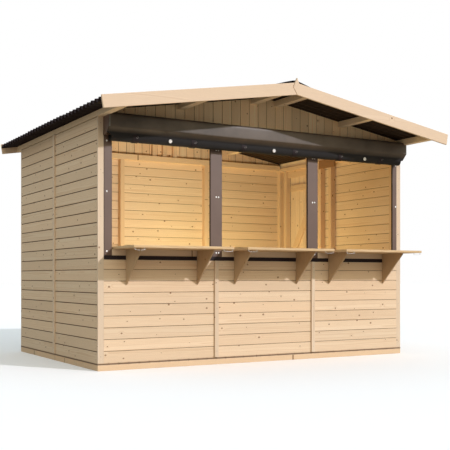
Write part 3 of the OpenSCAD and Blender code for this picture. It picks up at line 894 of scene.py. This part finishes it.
# Rolled cover
# One long sheet of coated cloth with a black back, nailed under the gable. It folds over the
# front, a flap at each end, and turns back under a crease into a roll. Straps with wire
# buckles hold the roll up, and three white turn buttons sit on it.
cover_cloth = make_coated("cover_cloth", (0.056, 0.039, 0.024), (0.100, 0.071, 0.047), 0.0004, 0.40, 0.62,
                          (0.009, 0.007, 0.007))
cover_low, cover_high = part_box("rolled_cover")
cover_middle = (cover_low.x + cover_high.x) / 2
cover_half = (cover_high.x - cover_low.x) / 2
cover_hem = 0.002
cover_thick = 0.0016
notch_x = 1.4595
notch_z = 1.947
wall_face = -0.999
front = cover_low.y
top = cover_high.z
crease = cover_low.z + 0.0975
fold_line = [(wall_face + 0.0005, top - 0.0100), (-1.012, top - 0.0060), (-1.045, top - 0.0055),
             (-1.072, top - 0.0085), (-1.092, top - 0.0125), (front + 0.0080, top - 0.0180),
             (front + 0.0030, top - 0.0270), (front + 0.0018, top - 0.0400), (front + 0.0016, crease + 0.012),
             (front + 0.0016, crease + 0.0038), (front + 0.0020, crease + 0.0008),
             (front + 0.0038, crease - 0.0020), (front + 0.0090, crease - 0.0070),
             (front + 0.0300, crease - 0.029), (front + 0.0400, crease - 0.040)]
roll_half = cover_half - 0.040
roll_radius = 0.0395
roll_drop = 0.0075
roll_center = Vector((wall_face - roll_radius, cover_low.z + roll_radius - roll_drop))
roll_outer = 0.0387
roll_inner = 0.012
roll_turns = 4
roll_start = math.radians(150)
roll_steps = 22
spiral = []
for i in range(roll_turns * roll_steps + 1):
    share = i / (roll_turns * roll_steps)
    turn = roll_start + math.tau * roll_turns * share
    radius = roll_outer + (roll_inner - roll_outer) * share
    spiral.append((roll_center.x + radius * math.cos(turn), roll_center.y + radius * math.sin(turn)))
cover_line = fold_line + spiral
strap_places = (-1.237, -0.729, -0.258, 0.256, 0.749, 1.214)
end_shares = [0.0, 0.0010, 0.0020, 0.0032, 0.0044, 0.0056, 0.0075, 0.011]
cover_shares = end_shares + [k / 120 for k in range(2, 119)] + [1 - share for share in end_shares[::-1]]
corner_round = 0.007


def eased(value):
    value = min(max(value, 0.0), 1.0)
    return value * value * (3 - 2 * value)


def cover_point(i, u):
    """Point of the cover's middle surface at step i of its line and share u of its width."""
    y, z = cover_line[i]
    rolled = eased((i - len(fold_line) + 1) / 3)
    half = cover_half - cover_hem + (roll_half - cover_half + cover_hem) * rolled
    x = cover_middle + (2 * u - 1) * half
    if z > notch_z and i < 9:
        x = min(max(x, -notch_x), notch_x)
    ripple = math.sin(x * 21.0 + 1.3) * 0.5 + math.sin(x * 47.0 + 0.4) * 0.3 + math.sin(x * 8.1) * 0.6
    if i < len(fold_line):
        face = eased((i - 5) / 3) * (1 - eased((i - 12) / 2))
        from_end = min(u, 1 - u) * 2 * half
        if from_end < corner_round and i > 3:
            y += corner_round - math.sqrt(corner_round ** 2 - (corner_round - from_end) ** 2)
        y += face * (0.0012 * ripple + 0.0012)
        z += face * 0.0012 * math.sin(x * 5.2 + 0.7)
    else:
        # The cloth hangs a little between the straps and ripples along its length
        slack = eased(min(abs(x - place) for place in strap_places) / 0.12)
        share = (i - len(fold_line)) / (len(cover_line) - len(fold_line))
        swell = 1.0 + (0.03 * ripple - 0.05 - 0.05 * (1 - slack)) * (1 - share)
        y, z = roll_center + (Vector((y, z)) - roll_center) * swell
    return Vector((x, max(y, front + 0.0009), z))


cover = bmesh.new()
reverse = cover.verts.layers.float.new("reverse")
fold_highlight = cover.verts.layers.float.new("fold_highlight")
rings = []
for i in range(len(cover_line)):
    before = cover_line[max(i - 1, 0)]
    after = cover_line[min(i + 1, len(cover_line) - 1)]
    normal = Vector((0, after[1] - before[1], before[0] - after[0])).normalized() * (cover_thick / 2)
    over, under = ([cover.verts.new(cover_point(i, share) + normal * way) for share in cover_shares]
                   for way in (1, -1))
    rings.append(over + under[::-1])
    for v in rings[-1]:
        v[reverse] = eased((i - len(fold_line) + 3) / 2)
        # Painted highlight: a pale band down the rounded fold near each end of the front face
        if 3 < i < len(fold_line) - 4:
            v[fold_highlight] = math.exp(-((abs(v.co.x - cover_middle) - cover_half + 0.010) / 0.005) ** 2)
skin(cover, rings, "strip")
cover_cut = sum(math.dist(a, b) for a, b in zip(cover_line, cover_line[1:]))
cover_piece = add_piece("cover_sheet", cover, cover_cloth, "kiosk", ["rolled_cover"], smooth=60)

flap_inset = 0.0008
flap_thick = 0.0016
flap_run = 0.088
flap_back = wall_face - 0.0005
fold_bottom = crease - 0.054
flap_line = [(flap_back, notch_z - 0.001), (front + 0.0038, notch_z - 0.001),
             (front + 0.0032, crease + 0.002), (front + 0.0540, fold_bottom + 0.0022),
             (flap_back, fold_bottom + 0.0022)]
tongue_line = [(front + 0.0540, fold_bottom + 0.0020), (flap_back, fold_bottom + 0.0020),
               (flap_back, fold_bottom + 0.0004), (front + 0.0525, fold_bottom + 0.0004)]
flaps = bmesh.new()
for side in (-1, 1):
    outer = cover_middle + side * (cover_half - flap_inset)
    for line, inward in ((flap_line, flap_thick), (tongue_line, flap_run)):
        skin(flaps, [[flaps.verts.new((x, y, z)) for y, z in line] for x in (outer, outer - side * inward)])
flap_piece = add_piece("cover_end_flaps", flaps, coated, "kiosk")

strap_width = 0.045
strap_inner = roll_outer - 0.0014
straps = bmesh.new()
for place in strap_places:
    rings = []
    for a in (math.radians(d) for d in range(140, 351, 10)):
        out = Vector((0, math.cos(a), math.sin(a)))
        rings.append([straps.verts.new(Vector((place + dx, *roll_center)) + out * radius) for dx, radius in
                      ((-strap_width / 2, strap_inner), (strap_width / 2, strap_inner),
                       (strap_width / 2, roll_outer), (-strap_width / 2, roll_outer))])
    skin(straps, rings)
add_piece("cover_straps", straps, black_rubber_and_side_shade, "kiosk", smooth=40)


def bend_wire(mesh, path, radius, out, closed=False):
    """A wire of round section along a list of points in a plane that faces out."""
    last = len(path) - 1
    rings = []
    for i, point in enumerate(path):
        if closed:
            along = path[(i + 1) % len(path)] - path[i - 1]
        else:
            along = path[min(i + 1, last)] - path[max(i - 1, 0)]
        side = along.cross(out).normalized()
        rings.append([mesh.verts.new(point + (side * math.cos(t) + out * math.sin(t)) * radius)
                      for t in (math.tau * k / 8 for k in range(8))])
    skin(mesh, rings, "loop" if closed else "face")


buckle_w = 0.020
buckle_h = 0.010
buckle_z = 1.795
buckle_corner = 0.28 * buckle_h
buckle_wire = 0.0008
buckle_right = Vector((0.9, 0, 0.43))
buckle_up = Vector((-0.43, 0, 0.9))
buckle_path = []
for across, up, start in ((1, 1, 0), (-1, 1, 90), (-1, -1, 180), (1, -1, 270)):
    for a in (math.radians(start + step) for step in (0, 30, 60, 90)):
        run = across * (buckle_w / 2 - buckle_corner) + buckle_corner * math.cos(a)
        rise = up * (buckle_h / 2 - buckle_corner) + buckle_corner * math.sin(a)
        buckle_path.append(buckle_right * run + buckle_up * rise)
buckles = bmesh.new()
for place in strap_places:
    middle = Vector((place + 0.012, roll_center.x - roll_radius, buckle_z))
    bend_wire(buckles, [middle + point for point in buckle_path], buckle_wire,
              buckle_right.cross(buckle_up).normalized(), True)
add_piece("strap_buckles", buckles, nail_steel, "kiosk", smooth=60)

button_white, tree, shader = new_material("button_white")
mottle = noise(tree, tree.nodes.new("ShaderNodeTexCoord").outputs["Object"], 160.0, 2.0)
feed(tree, shader.inputs["Base Color"], blend_colors(tree, mottle, (0.80, 0.79, 0.77), (0.88, 0.87, 0.86)))
feed(tree, shader.inputs["Roughness"], math_node(tree, "MULTIPLY_ADD", mottle, 0.2, 0.3))
button_profile = [(0.0, 0.006), (0.0025, 0.006), (0.003, 0.013), (0.0055, 0.0150), (0.0075, 0.0145),
                  (0.0088, 0.0120), (0.0080, 0.0085), (0.0072, 0.0040)]
button_z = 1.789
buttons = bmesh.new()
for x in (-0.944, 0.035, 1.019):
    turned(buttons, (x, roll_center.x - 0.036, button_z), (0, -1, -0.1), button_profile, 24)
add_piece("cover_buttons", buttons, button_white, "kiosk", smooth=40)

# Shelves
# A planed pine shelf under each window, level with its sill, on two triangular brackets
# of a browner cut of pine. They are fixed to the low front wall.
shelf_pine = make_pine("shelf_pine", (0.69, 0.50, 0.29), (0.57, 0.365, 0.19), (0.28, 0.14, 0.065), 0.08)
add_sticks("shelves", shelf_pine, 0.003)
bracket_pine = make_pine("bracket_pine", (0.54, 0.385, 0.235), (0.45, 0.295, 0.165), (0.26, 0.12, 0.05), 0.08)
add_sticks("shelf_brackets", bracket_pine, 0.0015)

# Shelf bails
# A thin zinc plated wire under each front corner of a shelf, with a screwed eye at both
# of its ends. It sags a little between them.
zinc = make_zinc("zinc_plate", (0.62, 0.62, 0.61), (0.80, 0.80, 0.80), 0.28)
bail_l = 0.086
bail_wire = 0.0011
bail_inset = 0.008
bail_sag = 0.004
eye_radius = 0.0050
eye_profile = [(-0.0005, 0.0036), (0.0010, 0.0036), (0.0018, 0.0022), (0.0040, 0.0018)]
ahead = Vector((0, 1, 0))
bails = bmesh.new()
for low, high in boxes("shelves"):
    for start in (low.x + bail_inset, high.x - bail_inset - bail_l):
        foot = Vector((start, low.y + 0.007, low.z - 0.0001))
        for shift in (eye_radius, bail_l - eye_radius):
            turned(bails, foot + Vector((shift, 0, 0)), (0, 0, -1), eye_profile, 10)
            center = foot + Vector((shift, 0, -0.0040 - eye_radius))
            bend_wire(bails, [center + Vector((math.cos(t), 0, math.sin(t))) * eye_radius
                              for t in (math.tau * k / 14 for k in range(14))], bail_wire, ahead, True)
        bend_wire(bails, [foot + Vector((eye_radius + (bail_l - 2 * eye_radius) * share, 0,
                                         -0.0135 - bail_sag * math.sin(math.pi * share)))
                          for share in (k / 12 for k in range(13))], bail_wire, ahead)
add_piece("shelf_bails", bails, zinc, "kiosk", smooth=50)

# Door
# A leaf of upright tongued boards, nailed from outside to three ledges, with two braces
# between them. It closes the doorway in the right side wall and opens outwards.
leaf_pitch = 0.084
leaf_low, leaf_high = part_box("door_leaf")
leaf_joints = even_joints(leaf_low.y, leaf_high.y, leaf_pitch)
boards = new_wood()
lay_boards(boards, leaf_joints, (leaf_low.z, leaf_high.z), leaf_high.x - leaf_low.x,
           lambda l, v, t: Vector((leaf_high.x - t, v, l)))
add_piece("door_leaf_boards", boards, board_pine, "door", ["door_leaf"])
for node in ("door_ledges", "door_braces"):
    add_sticks(node, frame_pine, body="door")

leaf_nails = bmesh.new()
for ledge_low, ledge_high in boxes("door_ledges"):
    for left, right in zip(leaf_joints, leaf_joints[1:]):
        for z in (ledge_low.z + 0.007, ledge_high.z - 0.007):
            turned(leaf_nails, (leaf_high.x, (left + right) / 2, z), (1, 0, 0), nail_profile, nail_sides)
add_piece("door_nails", leaf_nails, nail_steel, "door", smooth=50)

# Door fittings
# Zinc plated strap hinges with domed screws, and a tower bolt: a plate with a round bar
# that slides in two saddles, moved by a small knob.
strap_t = 0.003
screw_profile = [(-0.0005, 0.0042), (0.0006, 0.0042), (0.0015, 0.0034), (0.0021, 0.0016)]
for node, body, spots, stagger in (("door_hinges", "door", (0.554, 0.618, 0.682, 0.742), 0.007),
                                   ("frame_hinges", "kiosk", (0.822, 0.846), 0.0)):
    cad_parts[node].data.materials.clear()
    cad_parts[node].data.materials.append(zinc)
    screws = bmesh.new()
    for low, high in boxes(node):
        for k, y in enumerate(spots):
            z = (low.z + high.z) / 2 + (-stagger if k % 2 else stagger)
            turned(screws, (leaf_high.x + strap_t, y, z), (1, 0, 0), screw_profile, 14)
    add_piece(node + "_screws", screws, zinc, body, smooth=50)

bolt_low, bolt_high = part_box("door_bolt")
plate_x = bolt_low.x + 0.0014
bar_x = bolt_low.x + 0.0046
bar_z = (bolt_low.z + bolt_high.z) / 2
bar_radius = 0.0030
saddle_t = 0.0009
saddle_w = 0.010
saddle = [((plate_x, z), (plate_x + saddle_t, z)) for z in (0.0095, 0.0042)]
for a in (math.radians(d) for d in range(80, -81, -20)):
    saddle.append([(bar_x + r * math.cos(a), r * math.sin(a)) for r in (0.0032, 0.0042)])
saddle += [((plate_x, z), (plate_x + saddle_t, z)) for z in (-0.0042, -0.0095)]
tower_bolt = new_wood()
add_stick(tower_bolt, bolt_low, (plate_x, bolt_high.y, bolt_high.z), 0.0005)
turned(tower_bolt, (bar_x, bolt_low.y + 0.001, bar_z), (0, 1, 0),
       [(0.0, 0.0022), (0.0012, bar_radius), (0.0808, bar_radius), (0.082, 0.0022)], 20)
for y in (bolt_low.y + 0.014, bolt_low.y + 0.062):
    skin(tower_bolt, [[tower_bolt.verts.new((x, y + w, bar_z + z)) for (x, z), w in
                       ((inner, 0.0), (outer, 0.0), (outer, saddle_w), (inner, saddle_w))]
                      for inner, outer in saddle])
turned(tower_bolt, (bar_x + 0.002, bolt_low.y + 0.043, bar_z), (1, 0, 0),
       [(0.0, 0.0020), (0.0035, 0.0020), (0.0045, 0.0034), (0.0075, 0.0036), (0.0090, 0.0022)], 16)
for y in (bolt_low.y + 0.006, bolt_high.y - 0.006):
    for dz in (-0.0085, 0.0085):
        turned(tower_bolt, (plate_x, y, bar_z + dz), (1, 0, 0),
               [(-0.0003, 0.0026), (0.0005, 0.0024), (0.0010, 0.0012)], 12)
add_piece("tower_bolt", tower_bolt, zinc, "door", ["door_bolt"], smooth=40)
